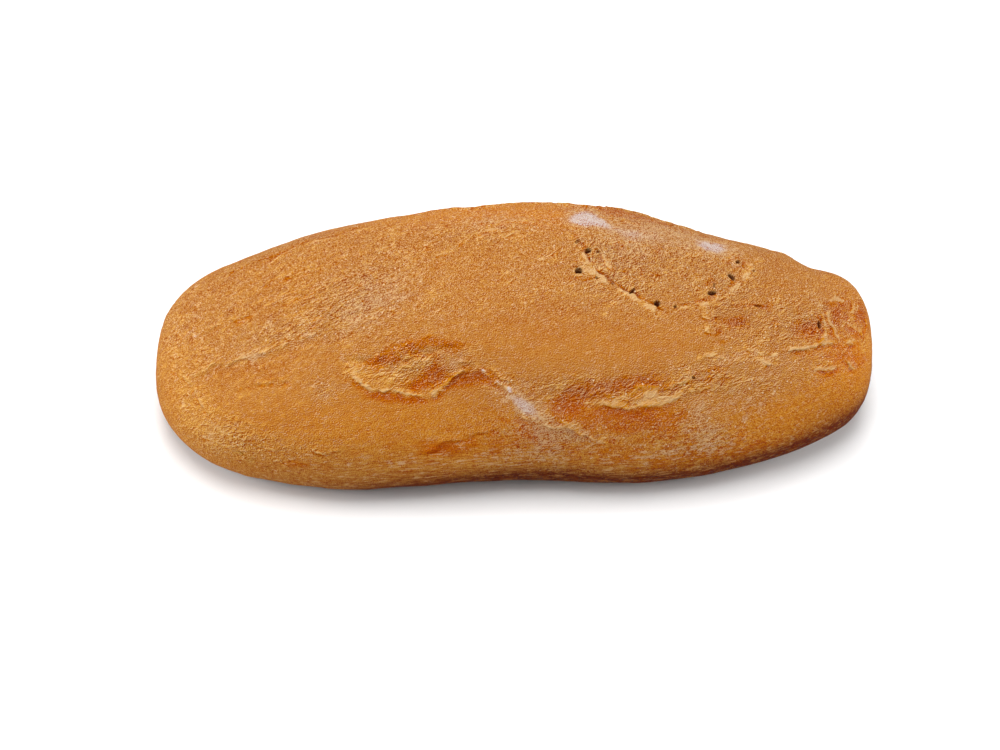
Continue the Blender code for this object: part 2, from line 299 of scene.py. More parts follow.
SHOULDER_CRACKS = (
    ((-129.5, 21), (-127, 25), (-125, 30)),
    ((-121, 27), (-114, 31), (-107, 34)),
    ((-112, 36), (-104, 39.5), (-96, 43.5)),
    ((-106, 41.5), (-98, 45.5), (-91, 48)),
)
LOW_WISPS = (
    ((-141, -40), (-133, -44.5), (-126, -47.5)),
    ((-117, -44), (-109, -46.5), (-102, -45.5)),
    ((-91, -46.5), (-84, -48.5), (-77, -47)),
    ((-124, -34), (-116, -36.5), (-109, -36)),
)
TOP_RIBS = (
    ((-29, 43.5), (-22, 47), (-15, 50.8), (-6, 52.5)),
    ((-4, 48.5), (1, 50.5), (6, 47.5)),
    ((-14, 53.5), (0, 56), (14, 54.5)),
    ((-36, 40), (-30, 41), (-24, 44)),
)
LEFT_RIBS = (
    ((-155, -9.5), (-147, -15.5), (-138, -28.5), (-131, -35.5)),
    ((-121, 23), (-104.5, 29.5), (-89, 34), (-75, 38)),
    ((-138, 6), (-128, 11), (-117, 14.5)),
    ((-128, -21), (-112, -17), (-98, -16)),
    ((-113, 16), (-98, 21), (-86, 27)),
)
FOLDS = (
    # path, crest, width, hollow, its offset and spread, paleness of the crest, brown and painted
    # shade of the hollow
    (LAP, 0.4, 0.8, 0.3, -1.7, 1.2, 1.6, 0.8),
    (LAP_TAIL, 0.5, 1.0, 0.3, -2.4, 1.8, 1.4, 0.3),
    (LAP_BACK_WALL, 0.2, 1.6, 0.6, -2.6, 1.9, 0.1, 0.15),
    (LAP_TONGUE, 0.4, 0.8, 0.2, 1.6, 1.0, 0.9, 0.2),
    (ARCH_RIDGE, 0.4, 0.7, 0.25, -1.4, 1.0, 0.7, 0.4),
    (SECOND_FOLD, 0.5, 1.1, 0.35, -1.9, 1.2, 2.3, 0.6),
    (FRONT_LIP, 0.45, 0.8, 0.35, -1.3, 1.1, 0.5, 0.5),
    (LEFT_RIDGE, 0.5, 1.1, 0.3, -3.0, 2.2, 0.7, 0.15),
    (SHOULDER_CREASE, 0.2, 1.8, 0.9, -0.3, 0.6, 0.1, 1.2),
    (LOW_CREASE, 0.3, 2.2, 0.9, 0.0, 0.7, 0.0, 0.8),
    (LOW_CREASE_2, 0.3, 2.0, 0.6, 0.0, 0.6, 0.0, 0.5),
    (V_LEFT, 0.3, 1.2, 0.9, 1.6, 0.5, 1.9, 2.2),
    (V_RIGHT, 0.25, 1.6, 0.4, 2.0, 0.6, 1.0, 0.9),
    (V_CRACK, 0.0, 1.0, 0.5, 0.0, 0.5, 0.0, 0.8),
    (DIMPLE_RIM, 0.8, 0.9, 0.5, -1.2, 0.8, 2.0, 0.9),
    (RIGHT_RIDGE, 0.65, 1.0, 0.4, -1.8, 1.2, 1.8, 0.6),
    (END_CREASE, 0.3, 1.8, 0.9, 0.0, 0.8, 0.3, 0.7),
    (SECOND_FOLD_TOP, 0.35, 0.9, 0.2, -1.3, 0.8, 0.8, 0.3),
)
RIBS = (
    (KNOB_RIBS, 0.5, 0.9, 0.35, -1.4, 0.9, 1.9, 0.8),
    (HAZE_WISPS, 0.2, 0.8, 0.15, -1.0, 0.7, 1.3, 0.3),
    (V_RIBS, 0.25, 1.0, 0.3, -1.2, 0.7, 1.0, 0.9),
    (TOP_RIBS, 0.35, 0.9, 0.3, -1.3, 0.8, 0.8, 0.6),
    (LEFT_RIBS, 0.3, 1.0, 0.25, -1.4, 0.8, 0.45, 0.5),
    (SHOULDER_CRACKS, 0.1, 0.8, 0.5, 0.0, 0.45, 0.0, 1.3),
    (LOW_WISPS, 0.3, 0.8, 0.25, -1.2, 0.8, 0.8, 0.5),
)
FOLDS += tuple((path, *figures) for paths, *figures in RIBS for path in paths)

# Hand-made marks wander a little from the drawn line, so the drawing is read at shifted points
WANDER = ((11.0, 1.1), (3.6, 0.9), (1.7, 0.5))  # wavelength, reach
WANDER_SEED = 1  # without a seed the marks would wander otherwise in each run
noise.seed_set(WANDER_SEED)
FINE_REACH = 2.4
FINEST_REACH = 0.9


def wandered(points, wanders=WANDER):
    """Where the drawing is read for each of the points."""
    read_at = points.copy()
    for wavelength, reach in wanders:
        read_at += reach * np.array([noise.noise_vector(Vector(p) / wavelength)[:] for p in points])
    return read_at


def close_to_folds(reach):
    """Which points are on or near a fold."""
    return np.array([line_tree.find(p)[2] < reach for p in wandered(plain)])


fold_line = np.concatenate([front_view.drop(fold[0]) for fold in FOLDS])
line_tree = KDTree(len(fold_line))
for number, point in enumerate(fold_line):
    line_tree.insert(point, number)
line_tree.balance()

# ---------------------------------------------------------------------------------------------
# Burst bubbles
# Gas broke through the skin in a few places and left small dark pits, most of them round the
# smooth patch right of the middle. Their cells are cut finer, so that each has a crisp rim.
# ---------------------------------------------------------------------------------------------
PITS = (
    # right, above, half-length, half-width, degrees, depth
    (28.9, 32.9, 1.45, 1.3, 0, 3.2),
    (33.3, 42.3, 1.3, 1.1, 0, 2.6),
    (28.4, 46.3, 1.2, 0.7, 40, 0.7),
    (37.6, 41.4, 0.7, 0.7, 0, 0.9),
    (36.9, 29.8, 0.6, 0.5, 0, 0.9),
    (44.1, 27.3, 0.6, 0.5, 0, 0.8),
    (52.9, 23.9, 1.7, 0.5, 45, 1.5),
    (64.2, 18.6, 1.25, 1.1, 0, 2.3),
    (72.3, 17.2, 0.7, 0.55, 20, 1.0),
    (88.8, 23.5, 1.8, 0.85, 5, 2.2),
    (97.6, 30.9, 1.7, 0.9, -38, 2.2),
    (100.5, 37.8, 0.95, 0.75, 20, 1.5),
    (137.3, 9.4, 0.6, 1.7, 8, 1.6),
    (80.3, -15.2, 0.9, 0.55, -30, 0.8),
    (109.5, 17.8, 1.6, 0.45, -3, 0.9),
    (89.9, 27.0, 0.4, 1.0, 0, 0.7),
    (107.6, 33.6, 0.6, 0.5, 0, 0.6),
)
PIT_SQUARENESS = 2.4
PIT_MARGIN = 2.0
FINEST_PIT_MARGIN = 0.7


def on_patch(seen, right, above, tilt):
    """How far points are from the middle of a tilted patch, along it and across it."""
    turn = np.radians(tilt)
    gap = seen - (right, above)
    lengthwise = gap[:, 0] * np.cos(turn) + gap[:, 1] * np.sin(turn)
    sideways = gap[:, 1] * np.cos(turn) - gap[:, 0] * np.sin(turn)
    return lengthwise, sideways


def across_pit(seen, pit):
    """How far points are from the middle of a pit, as a share of its reach."""
    right, above, half_length, half_width, tilt, _ = pit
    lengthwise, sideways = on_patch(seen, right, above, tilt)
    power = PIT_SQUARENESS
    shares = np.abs(lengthwise / half_length) ** power + np.abs(sideways / half_width) ** power
    return shares ** (1 / power)


def close_to_pits(margin):
    """Which points are in or near a pit."""
    seen = front_view.sheet(plain)
    near = np.zeros(len(plain), bool)
    for right, above, half_length, half_width, _, _ in PITS:
        reach = max(half_length, half_width) + margin
        near |= (np.hypot(seen[:, 0] - right, seen[:, 1] - above) < reach) & (outward[:, 2] > 0)
    return near


def cut_finer(near, cuts):
    """Cuts the cells that touch the given points into smaller ones."""
    touched = {e for f in shape.faces if any(near[v.index] for v in f.verts) for e in f.edges}
    finer = [e for e in shape.edges if e in touched]  # in the mesh's order, the same in each run
    bmesh.ops.subdivide_edges(shape, edges=finer, cuts=cuts, use_grid_fill=True)
    shape.verts.index_update()
    return measure_dough()


plain, outward, dough = cut_finer(close_to_folds(FINE_REACH) | close_to_pits(PIT_MARGIN), 1)
plain, outward, dough = cut_finer(close_to_folds(FINEST_REACH), 1)
plain, outward, dough = cut_finer(close_to_pits(FINEST_PIT_MARGIN), 2)

# The flat base needs no cells inside its rim
flat_verts = {v for v in shape.verts if plain[v.index][2] == 0}
flat_faces = {f for f in shape.faces if all(v in flat_verts for v in f.verts)}
lying = [f for f in shape.faces if f in flat_faces]
inner = [f for f in lying if all(g in flat_faces for v in f.verts for g in v.link_faces)]
bmesh.ops.dissolve_faces(shape, faces=inner, use_verts=True)
bmesh.ops.triangulate(shape, faces=[f for f in shape.faces if len(f.verts) > 4])
shape.verts.index_update()
plain, outward, dough = measure_dough()

shifted = wandered(plain)
broadly_shifted = wandered(plain, WANDER[:2])
front_seen = front_view.sheet(broadly_shifted)
back_seen = back_view.sheet(broadly_shifted)
front_faces = front_view.facing()
back_faces = back_view.facing()

# How far each point rises from the dough, and how strongly it is marked
rise = np.zeros(len(plain))
pale = np.zeros(len(plain))
brown_and_shade = np.zeros(len(plain))
flour = np.zeros(len(plain))

# ---------------------------------------------------------------------------------------------
# Knob, neck and pinch
# Where the dough was pinched off at the right end it swells into a knob, and where it was held
# while it was shaped the front is slightly drawn in.
# ---------------------------------------------------------------------------------------------
KNOB = (148.0, 24.0, 40.0)
KNOB_SIZE = 12.0
KNOB_RISE = 4.2
NECK = ((128, 44, 22), (132, 40, 34), (134, 33, 45), (138, 24, 53), (141, 14, 57), (142, 6, 58))
NECK_WIDTH = 8.0
NECK_DEPTH = 1.5
PINCH = (24.0, -58.0, 28.0)
PINCH_SIZE = 18.0
PINCH_DEPTH = 1.4
LINE_FADE = 0.15  # share of a line's length over which it fades in, and out again
OUT_OF_REACH = 1000.0
POINTS_AT_ONCE = 20000  # so that the distances of many points to a line fit in memory


def beside(line, reach):
    """How far the dough is from a line, to its left (+) or right (-), and the line's strength."""
    heading = np.gradient(line, axis=0)
    away = np.full(len(plain), OUT_OF_REACH)
    strength = np.zeros(len(plain))
    low = line.min(axis=0) - reach
    high = line.max(axis=0) + reach
    near = np.nonzero(np.all((shifted > low) & (shifted < high), axis=1))[0]
    for few in np.array_split(near, len(near) // POINTS_AT_ONCE + 1):
        gap = shifted[few][:, None, :] - line[None, :, :]
        far = np.linalg.norm(gap, axis=2)
        closest = far.argmin(axis=1)
        rows = np.arange(len(few))
        left = np.cross(outward[few], heading[closest])
        side = np.where(np.sum(left * gap[rows, closest], axis=1) > 0, 1.0, -1.0)
        share = closest / (len(line) - 1)
        away[few] = far[rows, closest] * side
        strength[few] = fade(share, 0, LINE_FADE) * fade(1 - share, 0, LINE_FADE)
    return away, strength


def bell(away, width):
    """1 on the line and fading away from it."""
    return np.exp(-((away / width) ** 2))


rise += KNOB_RISE * np.exp(-np.sum((plain - KNOB) ** 2, axis=1) / (2 * KNOB_SIZE**2))
rise -= PINCH_DEPTH * np.exp(-np.sum((plain - PINCH) ** 2, axis=1) / (2 * PINCH_SIZE**2))
away, strength = beside(spline(NECK, 1.0), 2.5 * NECK_WIDTH)
rise -= NECK_DEPTH * strength * bell(away, NECK_WIDTH)

# ---------------------------------------------------------------------------------------------
# Crests and hollows
# Each fold stands up as a crooked, torn, pale crest beside the hollow that it left. Between the
# folds the dough sank into pockets, and along the back runs the seam that closed the roll.
# ---------------------------------------------------------------------------------------------
POCKETS = (
    # right, above, half-length, half-height, degrees, depth, brown and painted shade
    (-63, -9, 10, 4.5, 0, 0.9, 0.1),
    (-41, -12.5, 6, 5, 0, 1.3, 0.4),
    (-45, -18, 6, 4, 0, 0.9, 0.3),
    (-21, -16.5, 8, 3.5, 0, 0.9, 0.3),
    (24, -24, 11, 7, 0, 1.1, 0.3),
    (52, -18, 13, 4, 0, 0.8, 0.3),
    (72, 32, 26, 9, 0, 0.7, 0.0),
    (103, 10, 11, 4, 0, 0.8, 0.2),
    (132, 8, 5.5, 4.5, 0, 2.0, 0.35),
)
BACK_SEAM = ((-104, -4), (-82, 4), (-58, 2), (-34, 8), (-8, 5), (18, 10), (40, 6), (58, 9))
BACK_CREASES = (
    ((-132, 4), (-120, -3), (-104, -6), (-92, -14)),
    ((64, 16), (82, 20), (98, 17), (116, 20)),
    ((70, -12), (88, -9), (104, -14), (124, -11)),
    ((-30, -16), (-8, -19), (16, -17), (34, -21)),
)
BACK_POCKETS = ((-40, -2, 16, 5), (24, 1, 13, 5), (92, 8, 14, 5), (-112, 2, 10, 5))
BACK_FOLDS = ((BACK_SEAM, 1.2),) + tuple((crease, 0.7) for crease in BACK_CREASES)  # path, crest
BACK_HOLLOW_OFFSET = 3.5
BACK_POCKET_DEPTH = 0.9


def noise_at(points, wavelength, shift=(0, 0, 0)):
    """Smooth noise with swells of about the wavelength, at each of the points."""
    shift = Vector(shift)
    return np.array([noise.noise(Vector(p) / wavelength + shift) for p in points])


def oval(seen, right, above, half_length, half_height, tilt=0.0):
    """1 in the middle of an oval patch and fading out past its rim."""
    lengthwise, sideways = on_patch(seen, right, above, tilt)
    return np.exp(-((lengthwise / half_length) ** 2) - (sideways / half_height) ** 2)


smooth_band = np.zeros(len(plain))
crumbly = noise_at(plain, 5.0) + 0.6 * noise_at(plain, 2.2)
patchy = np.clip(0.8 + 1.9 * crumbly, 0.05, 1.7)
torn_open = 0.35 + 0.65 * fade(crumbly, -0.3, 0.1)
chalky = np.clip(0.85 + 1.6 * crumbly, 0.1, 1.5)
# Hollows are painted browner: partly darker crust, partly painted shade
for path, crest, width, hollow, offset, spread, paleness, hollow_brown_and_shade in FOLDS:
    away, strength = beside(front_view.drop(path), 4 * max(width, abs(offset) + spread))
    steep = away * offset > 0
    ridge = np.where(steep, bell(away, 0.8 * width), bell(away, 1.7 * width))
    rise += strength * (crest * patchy * ridge - hollow * torn_open * bell(away - offset, spread))
    soft = 0.75 * bell(away, 1.0 * width) + 0.25 * bell(away, 3.0 * width)
    pale += paleness * strength * chalky * np.where(steep, bell(away, 0.55 * width), soft)
    smooth_band = np.maximum(smooth_band, min(paleness, 1) * strength * bell(away, 1.8 * width))
    brown_and_shade += hollow_brown_and_shade * strength * torn_open * bell(away - offset, spread)
for right, above, half_length, half_height, tilt, depth, hollow_brown_and_shade in POCKETS:
    patch = front_faces * oval(front_seen, right, above, half_length, half_height, tilt)
    rise -= depth * patch
    brown_and_shade += hollow_brown_and_shade * patch
for path, crest in BACK_FOLDS:
    away, strength = beside(back_view.drop(path), 4 * BACK_HOLLOW_OFFSET)
    from_hollow = away + BACK_HOLLOW_OFFSET
    rise += strength * (crest * bell(away, 2.0) - 0.9 * crest * bell(from_hollow, 2.5))
    pale += 0.7 * strength * bell(away, 1.6)
    brown_and_shade += 0.5 * strength * bell(from_hollow, 2.2)
for right, above, half_length, half_height in BACK_POCKETS:
    patch = back_faces * oval(back_seen, right, above, half_length, half_height)
    rise -= BACK_POCKET_DEPTH * patch
    brown_and_shade += 0.35 * patch

# ---------------------------------------------------------------------------------------------
# Skin of the dough
# Hand-shaped dough is slowly uneven, and its stretched skin baked into fine wrinkles that run
# mostly lengthwise, rising a little to the right.
# ---------------------------------------------------------------------------------------------
LUMPS = ((46.0, 1.0), (19.0, 0.45))  # wavelength, height
for wavelength, height in LUMPS:
    rise += height * noise_at(plain, wavelength)

WRINKLE_TURN = 18.0
WRINKLES = ((14.0, 4.2, 0.22), (7.0, 2.6, 0.14))  # length, spacing, height
WRINKLED_AREA = 30.0
WRINKLE_SHIFT = 31.7  # keeps the two sets of wrinkles from falling together
wrinkled = 0.35 + 0.65 * fade(noise_at(plain, WRINKLED_AREA, (7, 3, 1)), -0.1, 0.4)
turned = plain @ np.array(Matrix.Rotation(np.radians(WRINKLE_TURN), 3, (0, 0, 1)))
for number, (length, spacing, height) in enumerate(WRINKLES):
    drawn = turned / (length, spacing, spacing) + WRINKLE_SHIFT * (number + 1)
    rise += height * wrinkled * noise_at(drawn, 1.0)

# In places the skin didn't stretch smoothly and baked crumbly
COARSE = (
    # right, above, half-length, half-height, degrees, strength
    (56.6, 33.8, 32, 16, 0, 0.4),
    (38.7, 38.3, 12, 12, 0, 0.4),
    (94.7, 24.8, 14, 12, 0, 0.4),
    (47.7, 58.4, 25, 5, -12, 0.3),
    (40, -20, 48, 8, 0, 0.7),
    (16.3, -42.3, 32, 12, 0, 0.55),
    (79, -42.3, 32, 12, 0, 0.55),
    (88, -13.2, 22, 10, 0, 0.4),
    (141.7, 6.9, 18, 18, 0, 0.5),
    (112, 4, 22, 12, 10, 0.4),
    (125, -14, 24, 9, 15, 0.3),
    (-105, 3, 34, 7, 24, 0.35),
    (-70, 22, 24, 13, 45, 0.45),
    (-110, -46, 34, 7, -4, 0.4),
    (-86.6, -20, 8, 7, 0, 0.5),
    (-42, -7, 28, 10, 0, 0.6),
    (-129, -37.8, 20, 14, 0, 0.2),
    (-17.2, 50.8, 20, 6, 5, 0.2),
)
COARSE_BACK = 0.3
CRUMBS = ((4.4, 0.12), (2.6, 0.09))  # wavelength, height
FLAKES = (
    # spacing, stretch, degrees of rise, height of their rims, width of their rims
    (8.0, 2.2, 22.0, 0.26, 0.12),
    (4.2, 1.7, 28.0, 0.14, 0.18),
)


def slanted(degrees):
    """The way that rises so many degrees to the right, as seen from the front."""
    slant = np.radians(degrees)
    return front_view.right * np.cos(slant) + front_view.up * np.sin(slant)


def paint(values, ovals, faces, seen):
    """Adds the strengths of oval patches to the values, on the side that faces the eye."""
    for right, above, half_length, half_height, tilt, strength in ovals:
        values += strength * faces * oval(seen, right, above, half_length, half_height, tilt)


coarse = COARSE_BACK * back_faces
paint(coarse, COARSE, front_faces, front_seen)
coarse *= 1 - 0.4 * smooth_band
for number, (spacing, stretch, slant, height, width) in enumerate(FLAKES):
    lie = slanted(slant)
    squeezed = shifted + (1 / stretch - 1) * np.outer(shifted @ lie, lie)
    field = noise_at(squeezed, spacing, (3 * number, 1, 7))
    broken = fade(noise_at(plain, 1.6 * spacing), -0.25, 0.2)
    crest = broken * np.clip(1 - np.abs(field) / width, 0, 1) ** 0.8
    rise += height * np.minimum(1.6 * coarse, 1.2) * crest
    pale += 0.6 * np.minimum(1.4 * coarse, 1) * crest
    brown_and_shade += 0.25 * np.minimum(1.4 * coarse, 1) * broken * bell(field + 1.7 * width, 0.6 * width)
for wavelength, height in CRUMBS:
    rise += height * (0.25 + 1.5 * coarse) * noise_at(plain, wavelength, (5, 9, 2))

# The bubbles burst through the skin, and their insides are painted dark as painted shade
PIT_RIM = 1.45  # where a pit's pale rim lies, as a share of the pit's reach
FULL_SHADE_DEPTH = 1.6  # a pit this deep is fully dark
pit_shade = np.zeros(len(plain))
exact_seen = front_view.sheet(plain)
for pit in PITS:
    depth = pit[-1]
    reach = across_pit(exact_seen, pit)
    inside = (1 - fade(reach, 0.85, 1.2)) * front_faces
    rise -= depth * inside
    pit_shade = np.maximum(pit_shade, np.clip(depth / FULL_SHADE_DEPTH, 0.5, 1) * inside)
    pale += 0.3 * bell(reach - PIT_RIM, 0.3) * front_faces

# Nothing stands out of the base, which lay flat on the stone
FLAT_UP_TO = 0.5
FREE_FROM = 7.0
rise *= fade(plain[:, 2], FLAT_UP_TO, FREE_FROM)
points = plain + outward * rise[:, None]
points[:, 2] = np.maximum(points[:, 2], 0)
box_middle = (points.min(axis=0) + points.max(axis=0)) / 2
points[:, :2] -= box_middle[:2]

# ---------------------------------------------------------------------------------------------
# Flour, browning and painted shade
# The loaf was dusted with flour, which stayed in patches, and its skin browned unevenly: deeper
# orange where it is thin and smooth, paler on what stood out. Hollows hold painted shade too.
# ---------------------------------------------------------------------------------------------
FLOUR = (
    # right, above, half-length, half-height, degrees, strength
    (32, 56.4, 8.5, 4.4, -12, 1.32),
    (42, 54, 7, 2.4, -25, 0.4),
    (50, 49, 9, 5, -16, 0.48),
    (66, 47, 12, 4.5, -12, 0.5),
    (87.5, 44.2, 9, 3.6, -8, 0.85),
    (98, 41, 10, 6, -30, 0.4),
    (52, 42, 12, 8, 0, 0.35),
    (-60, 21.5, 16, 12, 30, 0.5),
    (-72, 12, 9, 7, 30, 0.35),
    (2, -25, 11, 5.5, -35, 0.64),
    (13, -34, 20, 5, -30, 0.55),
    (12, -42, 10, 5, -20, 0.5),
    (32, -42, 12, 3, -14, 0.35),
    (8, -50, 24, 4, -2, 0.55),
    (88, -41, 10, 7, 0, 0.6),
    (72, -48.5, 24, 3.2, 8, 0.6),
    (-60, -52, 30, 3, -2, 0.25),
    (-146, 0, 18, 30, 0, 0.15),
    (84, -30, 7, 6, 60, 0.5),
    (103, -24, 14, 7, 15, 0.3),
    (95, -7, 16, 4.5, 18, 0.35),
    (117, -8, 14, 6, 10, 0.3),
    (-118.5, -5.5, 5, 3, 10, 0.7),
    (7.5, 29.5, 7, 6, 0, 0.15),
    (-142.5, 4.5, 2.6, 0.8, -20, 1.0),
    (-110, 8.7, 1.1, 1.8, 0, 0.9),
    (-93.5, 4.7, 3, 1.4, 0, 0.7),
    (103.5, -32.5, 2, 2, 0, 0.7),
    (124, -41, 0.9, 0.9, 0, 1.1),
    (-88.5, -20, 2.2, 2.2, 0, 0.6),
    (-85.5, -23.5, 2.2, 1.6, 0, 0.6),
    (-14, -12.4, 2.0, 0.6, -36, 1.1),
    (-7.5, -16.8, 1.4, 0.6, -38, 0.9),
    (-2.5, -20.6, 1.4, 0.6, -38, 0.9),
    (-26.5, -8.5, 4, 3, 60, 0.5),
)
# Darker orange crust, with painted shade below the lap's lip, in its cave and in its hollows
BROWNING_AND_SHADE = (
    (-60, -6.8, 6, 2.4, 10, 1.0),
    (-55, -6.3, 4.5, 1.3, 5, 1.1),
    (-46, -1, 9, 3.2, 12, 0.95),
    (-44, -4.5, 4, 1.0, 0, 0.6),
    (-30, 0.3, 8, 2.6, -6, 0.9),
    (-35, -12, 3.4, 5.2, 5, 1.25),
    (-44.3, -19.0, 3.0, 2.0, 0, 1.1),
    (-40, -16.5, 6, 3.4, 20, 0.8),
    (-22, -15.5, 9, 3.2, 6, 0.95),
    (-58, -24.4, 11, 1.6, -6, 0.6),
    (-50, -26, 16, 2.2, -4, 0.3),
    (-6, -5, 8, 3.5, -35, 0.3),
    (-11.5, -12.5, 4.5, 2.2, -30, 0.4),
    (-64, -8.5, 4, 2, 0, 0.3),
    (24, -28, 7.0, 5.0, 10, 1.1),
    (36, -22, 10, 3.5, 5, 0.5),
    (60, -33, 22, 4.5, -6, 0.6),
    (48, -38, 26, 4, -4, 0.45),
    (88, -14, 10, 4, 20, 0.4),
    (60.5, -17.3, 4.5, 1.6, -5, 0.9),
    (7, -39.5, 5.5, 3.5, -20, 0.5),
    (31, -20, 9, 3.5, 15, 0.45),
    (52, -17.5, 16, 3.6, 5, 0.85),
    (47, -32, 15, 2.6, -4, 0.35),
    (100, 10.5, 7.0, 2.6, 5, 1.1),
    (109, 17.5, 7, 1.4, 0, 1.0),
    (89, 1, 6, 3.2, 10, 0.45),
    (132.6, 7.0, 4.4, 3.7, 20, 1.25),
    (151, 4, 10, 15, 0, 0.32),
    (147, -6, 10, 2.6, 0, 0.6),
    (144.5, 14.5, 2.4, 3.6, 0, 1.1),
    (154, 13, 2.2, 3.4, 0, 1.1),
    (142, 5, 3, 1.8, 0, 0.3),
    (141, -12, 6, 0.8, 0, 0.5),
    (-33, -46.5, 6, 2, 8, 0.8),
    (-3, -34.5, 4, 1, 0, 0.6),
    (7.5, -42.5, 4, 1.2, 0, 0.6),
    (-95.5, -54, 9, 3, -10, 0.45),
    (-153, -21, 3, 3, 0, 0.35),
    (-141, -31, 1.2, 2.4, 0, 0.5),
    (-10, -46, 70, 8, 0, 0.35),
    (85, -50, 60, 8, 5, 0.5),
    (56, -27, 32, 9, 0, 0.2),
    (44, 60.5, 14, 2.2, -8, 0.9),
    (62, 57, 10, 2.5, -16, 0.9),
    (82, 51.5, 12, 2, -18, 0.6),
)
PALE_SPOTS = (
    (-72, -11, 4.5, 4, -40, 0.6),
    (41.5, 35.5, 4, 2.4, 35, 0.7),
    (33.5, 38, 1.4, 4, 0, 0.5),
    (156, -1, 2, 4, -30, 0.6),
    (-148, -26.5, 0.9, 2.4, 0, 0.8),
    (-152, -4, 14, 30, 10, 0.4),
    (-134, -38, 20, 11, -22, 0.6),
    (-60, -12.5, 14, 5, -8, 0.35),
    (-52, -17, 10, 4, -6, 0.35),
    (57, -23.5, 14, 4, 5, 0.8),
    (-8, 49.5, 14, 4, 4, 0.3),
)
# Where the crust is painted brighter and a fuller orange, partly as painted light
WARMED_AND_LIT = (
    (0, -40, 130, 16, 0, 0.8),
    (150, -6, 20, 34, 0, 0.9),
    (120, -34, 30, 12, 20, 0.6),
    (-20, 60, 130, 7, 0, 0.7),
)
STRETCHED = (
    (-118, 14, 42, 26, 20, 0.9),
    (-120, -30, 36, 18, 0, 0.6),
    (-60, -36, 40, 14, 5, 0.5),
    (130, -20, 30, 16, 20, 0.5),
    (-10, 52, 60, 9, 3, 0.6),
    (-70, 26, 46, 22, 35, 0.5),
    (60, -44, 70, 10, 4, 0.5),
)
BACK_FLOUR = (
    (-70, 18, 22, 8, 8, 0.5),
    (10, 24, 26, 6, -4, 0.45),
    (86, -2, 18, 9, 10, 0.5),
    (-20, -24, 20, 5, 0, 0.35),
    (128, -14, 12, 8, 0, 0.4),
    (-128, -12, 12, 8, 0, 0.35),
)
paint(flour, FLOUR, front_faces, front_seen)
paint(flour, BACK_FLOUR, back_faces, back_seen)
paint(brown_and_shade, BROWNING_AND_SHADE, front_faces, front_seen)
paint(pale, PALE_SPOTS, front_faces, front_seen)

# The lower half, the right end and the far edge are painted a brighter, fuller orange: partly the
# crust's colour, partly painted light
warmed_and_lit = np.zeros(len(plain))
paint(warmed_and_lit, WARMED_AND_LIT, front_faces, front_seen)

# The skin was drawn out most at the left
stretched_skin = np.zeros(len(plain))
paint(stretched_skin, STRETCHED, front_faces, front_seen)

# Near the stone the crust baked browner and is darkened further as painted shade, least at the left
# end
LOW_BROWN_AND_SHADE_REACH = 38.0
RIM_REACH = 9.0
LOW_BROWN_AND_SHADE_ALONG = (0.0, 0.1, 0.8, 1.6, 2.0, 2.1, 2.1, 2.2, 2.6)
LOW_BROWN_AND_SHADE_PATCH = ((142, -38, 28, 15, 35, 0.4),)
above_base = plain[:, 2]
low_brown_and_shade = along(plain[:, 0], LOW_BROWN_AND_SHADE_ALONG) * (1 - fade(above_base, 0.0, LOW_BROWN_AND_SHADE_REACH)) ** 1.25
low_brown_and_shade = np.maximum(low_brown_and_shade, 1 - fade(above_base, FLAT_UP_TO, RIM_REACH))
paint(low_brown_and_shade, LOW_BROWN_AND_SHADE_PATCH, front_faces, front_seen)

# Low down all round, flour and skin were dragged into streaks as the loaf was rolled
SWEPT_FULL = 26.0  # height up to which the streaks are strongest, and where they end
SWEPT_END = 60.0
SWEPT_ALONG = (0.3, 0.6, 0.9, 1.0, 1.0, 1.0, 1.0, 0.9, 0.7)
swept_skin = along(plain[:, 0], SWEPT_ALONG) * (1 - fade(above_base, SWEPT_FULL, SWEPT_END))

# ---------------------------------------------------------------------------------------------
# The crust
# The outside of the dough baked into one matt, sandy, golden-brown skin. It is a single mesh, and
# the marks above are kept on its points for the material.
# ---------------------------------------------------------------------------------------------
for vert, point in zip(shape.verts, points):
    vert.co = Vector(point) * MM
bmesh.ops.recalc_face_normals(shape, faces=shape.faces)
crust_mesh = bpy.data.meshes.new("crust")
shape.to_mesh(crust_mesh)
shape.free()
crust_mesh.shade_smooth()
for name, values in (
    ("flour", flour),
    ("pale", pale),
    ("brown_and_shade", brown_and_shade),
    ("pit", np.minimum(pit_shade, 1)),
    ("low_brown_and_shade", low_brown_and_shade),
    ("coarse", coarse),
    ("stretched", stretched_skin),
    ("warmed_and_lit", np.minimum(warmed_and_lit, 1)),
    ("swept", swept_skin),
):
    layer = crust_mesh.attributes.new(name, "FLOAT", "POINT")
    layer.data.foreach_set("value", np.clip(values, 0, 2).astype(np.float32))
crust = bpy.data.objects.new("crust", crust_mesh)
bpy.context.scene.collection.objects.link(crust)
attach(crust, "root")
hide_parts("loaf")

# Colours are what a bright soft light shows
GOLD = (0.385, 0.143, 0.017, 1)
TAN = (0.398, 0.161, 0.024, 1)
AMBER = (0.350, 0.107, 0.007, 1)
LIT_ORANGE = (0.570, 0.200, 0.008, 1)
GRAIN_PAINTED_LIGHT = (0.515, 0.282, 0.078, 1)
WARM_GRAIN_PAINTED_LIGHT = (0.610, 0.290, 0.036, 1)
PALE_CRUST = (0.600, 0.320, 0.050, 1)
DUSTY = (0.450, 0.215, 0.052, 1)
DUST_CREAM = (0.590, 0.395, 0.210, 1)
PAINTED_GLINT = (0.640, 0.385, 0.125, 1)
FLOUR_WHITE = (0.540, 0.455, 0.430, 1)
FLECK_CREAM = (0.620, 0.480, 0.300, 1)
SETTLED = (0.520, 0.275, 0.095, 1)
PIT_SHADE = (0.070, 0.012, 0.003, 1)

